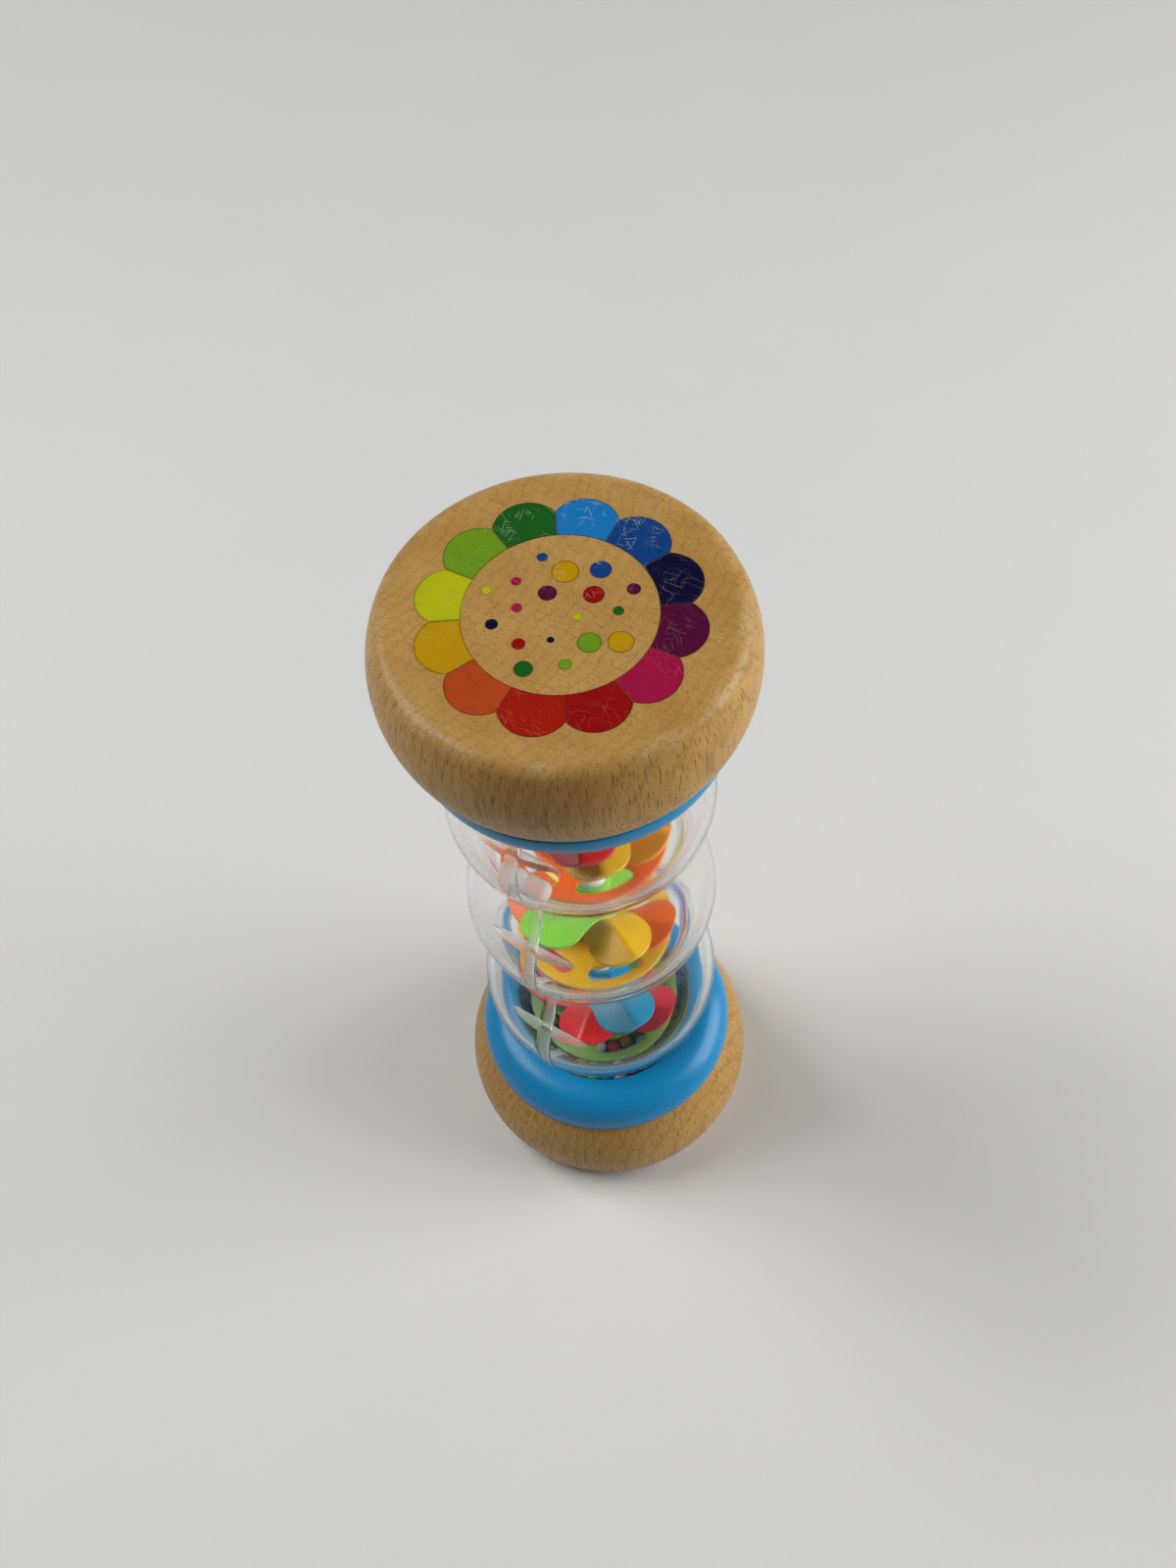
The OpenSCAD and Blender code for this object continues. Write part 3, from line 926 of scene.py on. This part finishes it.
def slotted_disc(name, level):
    """A flat disc round the axle, with slots that have round ends."""
    step = 2 * math.pi / SLOTS
    middle = SLOT_IN + SLOT_W / 2
    half_slot = (step - WEB_W / middle) / 2
    half_w = SLOT_W / 2
    bore = AXLE_R + GLUE_GAP
    ends = arc((half_slot * middle - half_w, 0), half_w, 0, math.pi / 2, SLOT_END_STEPS)
    along = [(x / middle, y) for x, y in ends]
    along += [(along[-1][0] * (1 - j / SLOT_STEPS), half_w) for j in range(1, SLOT_STEPS + 1)]
    along = [(-x, y) for x, y in along] + [(x, y) for x, y in reversed(along[:-1])]
    web = step - 2 * half_slot
    bm = bmesh.new()
    lines = []
    for k in range(SLOTS):
        for offset, opening in along:
            angle = from_front(SLOT_TURN) + k * step + offset
            lines.append(spoke(bm, angle, (bore, middle - opening, middle + opening, DISC_R)))
        for j in range(1, WEB_STEPS):
            angle = from_front(SLOT_TURN) + k * step + half_slot + web * j / WEB_STEPS
            lines.append(spoke(bm, angle, (bore, middle, middle, DISC_R)))
    for k in range(len(lines)):
        for inside, outside in ((0, 1), (2, 3)):
            bm.faces.new((lines[k - 1][inside], lines[k - 1][outside], lines[k][outside], lines[k][inside]))
    disc = new_piece(name, bm)
    worked(disc, "SOLIDIFY", thickness=(DISC_TOP - DISC_BOTTOM) * MM, offset=0)
    eased(disc, DISC_EDGE, 2, DISC_SHARP)
    disc.data.transform(Matrix.Translation((0, 0, level * MM)))
    return disc


place(tube("axle_rod", 0, AXLE_R, *heights("axle"), SLEEVE_EDGE), "axle", "white_plastic")
for bulge in ("lower", "middle", "upper"):
    for length in ("short", "long"):
        node = f"{bulge}_{length}_sleeve"
        sleeve = tube(node + "_tube", AXLE_R + GLUE_GAP, SLEEVE_R, *heights(node), SLEEVE_EDGE)
        place(sleeve, node, "white_plastic")
for colour in ("green", "yellow", "orange", "red"):
    node = colour + "_disc"
    place(slotted_disc(node + "_moulding", sum(heights(node)) / 2), node, colour + "_plastic")


# Petal plates


def petal():
    """A petal on the +X side: a round end on a tapering root, folded along its middle like a roof."""
    lean = math.asin((PETAL_R - HUB_R) / PETAL_REACH)
    root = HUB_R * math.cos(lean)
    outline = arc((PETAL_REACH, 0), PETAL_R, -math.pi / 2 - lean, math.pi / 2 + lean, PETAL_STEPS)
    blank = prism("petal", outline + [(0, root), (0, -root)], -HUB_H, HUB_H)
    half_w = ROOF_SPARE * PETAL_R
    drop = half_w * math.tan(PETAL_FOLD)
    half_t = PETAL_T / 2 / math.cos(PETAL_FOLD)
    section = [(-half_w, -drop - half_t, 0), (0, -half_t, FOLD_ROUND), (half_w, -drop - half_t, 0),
               (half_w, half_t - drop, 0), (0, half_t, FOLD_ROUND), (-half_w, half_t - drop, 0)]
    roof = prism("roof", rounded(section, FOLD_STEPS), 0, PETAL_REACH + 2 * PETAL_R)
    along_x = Matrix(((0, 0, 1, 0), (1, 0, 0, 0), (0, 1, 0, 0), (0, 0, 0, 1)))
    rise = PETAL_R / 2 * math.tan(PETAL_FOLD)
    raised = Matrix.Translation((0, 0, rise * MM)) @ Matrix.Rotation(PETAL_TILT, 4, "X")
    roof.data.transform(raised @ along_x)
    combined(blank, roof, "INTERSECT")
    return eased(blank, PETAL_EDGE, 3, PETAL_SHARP)


def petal_plate():
    """A two-petal plate on a hub that turns on the axle."""
    plate = petal()
    other = added("other_petal", plate.data.copy())
    other.data.transform(Matrix.Rotation(math.pi, 4, "Z"))
    half_h = HUB_H / 2
    hub = tube("hub", 0, HUB_R, -half_h, half_h, HUB_EDGE)
    combined(plate, other, "UNION")
    combined(plate, hub, "UNION")
    return combined(plate, tube("bore", 0, AXLE_R + TURN_GAP, -HUB_H, HUB_H, 0), "DIFFERENCE")


plate_form = petal_plate()
for node, azimuth in PLATE_TURNS.items():
    plate = added(node + "_moulding", plate_form.data.copy())
    colour = node.split("_")[1].replace("green", "lime")
    place(plate, node, colour + "_plastic", turn=from_front(azimuth), lift=sum(heights(node)) / 2)
bpy.data.objects.remove(plate_form)


# Beads


def bead():
    """A small moulded ball with a fine parting line round its middle."""
    outline = [(0, -BEAD_R)]
    outline += arc((0, 0), BEAD_R, -math.pi / 2, -GROOVE_ANGLE, HALF_BEAD_STEPS)[1:]
    outline += [(BEAD_R - BEAD_GROOVE, 0)]
    outline += arc((0, 0), BEAD_R, GROOVE_ANGLE, math.pi / 2, HALF_BEAD_STEPS)
    return shaded(lathe("bead", outline, steps=BEAD_STEPS))


def bead_seats(first, colour):
    """Every fifth place in rings round the post, on the floor of the lower collar."""
    step = 2 * (BEAD_R + BEAD_SPACE / 2)
    rings = int((NECK_R - WALL - POST_R - BEAD_SPACE) / step)
    seats = []
    for ring in range(rings):
        radius = POST_R + 2 * BEAD_SPACE + BEAD_R + ring * step
        count = int(math.pi / math.asin(step / 2 / radius))
        for n in range(count):
            if (n + 2 * ring) % len(BEAD_SETS) == first:
                turn = 2 * math.pi * n / count
                spot = (radius * math.cos(turn), radius * math.sin(turn), FLOOR_Z + BEAD_R + GLUE_GAP)
                seats.append((spot, turn, 1.0, colour))
    return seats


for first, node in enumerate(BEAD_SETS):
    slot = node.replace("green", "lime").replace("beads", "plastic")
    seats = bead_seats(first, PLASTICS[slot])
    place(seated_copies(node + "_loose", bead(), seats, finishes[slot]), node, slot)


# Printed flower and dots


def ink_film(name, outline):
    """A thin film of ink over an outline, with its edge marked for the darker line round it."""
    bm = bmesh.new()
    edge = bm.faces.layers.float.new("edge")
    top = [bm.verts.new((x * MM, y * MM, INK_T * MM)) for x, y in outline]
    low = [bm.verts.new((x * MM, y * MM, 0)) for x, y in outline]
    face = bm.faces.new(top)
    bm.faces.new(reversed(low))
    for k in range(len(outline)):
        bm.faces.new((low[k - 1], low[k], top[k], top[k - 1]))
    bm.normal_update()
    inset = bmesh.ops.inset_individual(bm, faces=[face], thickness=INK_EDGE * MM)
    for border in inset["faces"]:
        border[edge] = 1
    return new_piece(name, bm)


def flower_petal():
    """One petal of the flower, on the +X side: part of a ring with a round outer end."""
    half = math.pi / len(FLOWER)
    side = FLOWER_GAP / FLOWER_NOTCH
    notch = (FLOWER_NOTCH * math.cos(half - side), FLOWER_NOTCH * math.sin(half - side))
    rise = FLOWER_OUT - notch[0]
    lobe_r = (rise ** 2 + notch[1] ** 2) / (2 * rise)
    centre = (FLOWER_OUT - lobe_r, 0)
    open_angle = math.atan2(notch[1], notch[0] - centre[0])
    outline = arc((0, 0), FLOWER_IN, half - side, side - half, FLOWER_IN_STEPS)
    outline += arc(centre, lobe_r, -open_angle, open_angle, FLOWER_OUT_STEPS)
    return ink_film("flower_petal", outline)


def lay_print(piece):
    """Lets a print ride with the upper end's flat face."""
    shaded(piece)
    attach(piece, BODY_OF["upper_end"])


face_z = TOTAL_H - INK_T
petal_step = 360 / len(FLOWER)
petal_seats = [((0, 0, face_z), from_front(FLOWER_TURN + k * petal_step), 1.0, INKS[ink])
               for k, ink in enumerate(FLOWER)]
lay_print(seated_copies("flower_print", flower_petal(), petal_seats, finishes["printed_ink"]))

dot_seats = []
for k, (ink, diameter) in enumerate(DOTS):
    reach = (DOTS_OUT - DOTS_MARGIN) * math.sqrt((k + DOTS_START) / len(DOTS)) + DOTS_IN
    turn = from_front(DOTS_TURN + k * GOLDEN_ANGLE)
    spot = (reach * math.cos(turn), reach * math.sin(turn), face_z)
    dot_seats.append((spot, turn, diameter / 2 / DOT_R, INKS[ink]))
dot = ink_film("dot", arc((0, 0), DOT_R, 0, 2 * math.pi, DOT_STEPS)[:-1])
lay_print(seated_copies("dots_print", dot, dot_seats, finishes["printed_ink"]))


# Floor, light and camera

FLOOR_HALF = 3
FLOOR_DROP = 0.0001
FLOOR_COLOUR = (0.7, 0.7, 0.686)
FLOOR_FADE = (250, 750)
WORLD_LOW = (0.1, 0.1, 0.098)
WORLD_HIGH = (0.06, 0.06, 0.059)
WORLD_SEEN = (0.57, 0.57, 0.562)
LAMPS = {
    "window": {"spot": (-0.6, 0.25, 0.9), "aim": (0, 0, 0.05), "size": 0.6, "power": 8},
    "right": {"spot": (0.92, -0.06, 0.38), "aim": (0, 0, 0.1), "size": 0.75, "power": 11.5},
}


def directly_seen(field):
    """1 for what is seen straight, mirrored or through the clear body, and 0 for what only gives light."""
    rays = field.node("ShaderNodeLightPath", output="Is Camera Ray")
    mirrored = rays.output("Is Glossy Ray").math("MAXIMUM", rays.output("Is Transmission Ray"))
    return rays.math("MAXIMUM", mirrored * (rays.output("Diffuse Depth") < 0.5))


def floor():
    """A plain pale table top under the toy, which runs into the background far away."""
    bm = bmesh.new()
    bmesh.ops.create_grid(bm, x_segments=1, y_segments=1, size=FLOOR_HALF)
    made = new_piece("floor", bm)
    made.location.z = -FLOOR_DROP
    finish, shader, field = material("floor", {"Roughness": 0.55, "Specular IOR Level": 0.25})
    spot = millimetres(field)
    grain = noise(spot, (0.02, 0.02, 0.02), detail=4)
    darker = [channel * 0.96 for channel in FLOOR_COLOUR]
    connect(shader.inputs["Base Color"], blend(grain, FLOOR_COLOUR, darker))
    far = spot.vector("LENGTH", output=1).step(*FLOOR_FADE) * directly_seen(field)
    background = field.node("ShaderNodeEmission", None, {"Color": solid(WORLD_SEEN)})
    show(finish, shader_mix(far, Field(field.tree, shader.outputs[0]), background))
    made.data.materials.append(finish)


def lamp(name, spot, aim, size, power):
    """A square soft light."""
    data = bpy.data.lights.new(name, "AREA")
    data.shape = "SQUARE"
    data.size = size
    data.energy = power
    made = added(name, data)
    made.location = spot
    made.rotation_euler = (Vector(aim) - Vector(spot)).to_track_quat("-Z", "Y").to_euler()


def surroundings():
    """A dim room that is paler towards the horizon, and pale where it is seen."""
    world = bpy.data.worlds.new("room")
    world.use_nodes = True
    bpy.context.scene.world = world
    background = world.node_tree.nodes["Background"]
    field = Field(world.node_tree)
    towards = field.node("ShaderNodeTexCoord", output="Generated")
    height = field.node("ShaderNodeSeparateXYZ", None, {"Vector": towards}, output="Z")
    light = blend(height.step(0.05, 0.6), WORLD_LOW, WORLD_HIGH)
    connect(background.inputs["Color"], blend(directly_seen(field), light, WORLD_SEEN))


def camera():
    """The photograph's view, from above the front."""
    data = bpy.data.cameras.new("camera")
    data.lens = LENS
    data.sensor_width = SENSOR_W
    data.clip_start = CLIP_START
    made = added("camera", data)
    aim = Matrix.Rotation(-math.radians(CAMERA_RIGHT), 4, "Z")
    aim = aim @ Matrix.Rotation(math.radians(90 - CAMERA_DOWN), 4, "X")
    aim = aim @ Matrix.Rotation(math.radians(CAMERA_ROLL), 4, "Z")
    made.matrix_world = Matrix.Translation(Vector(CAMERA_PLACE) * MM) @ aim
    bpy.context.scene.camera = made


camera()
floor()
surroundings()
for name, settings in LAMPS.items():
    lamp(name, **settings)
bpy.context.scene.view_settings.view_transform = "Standard"
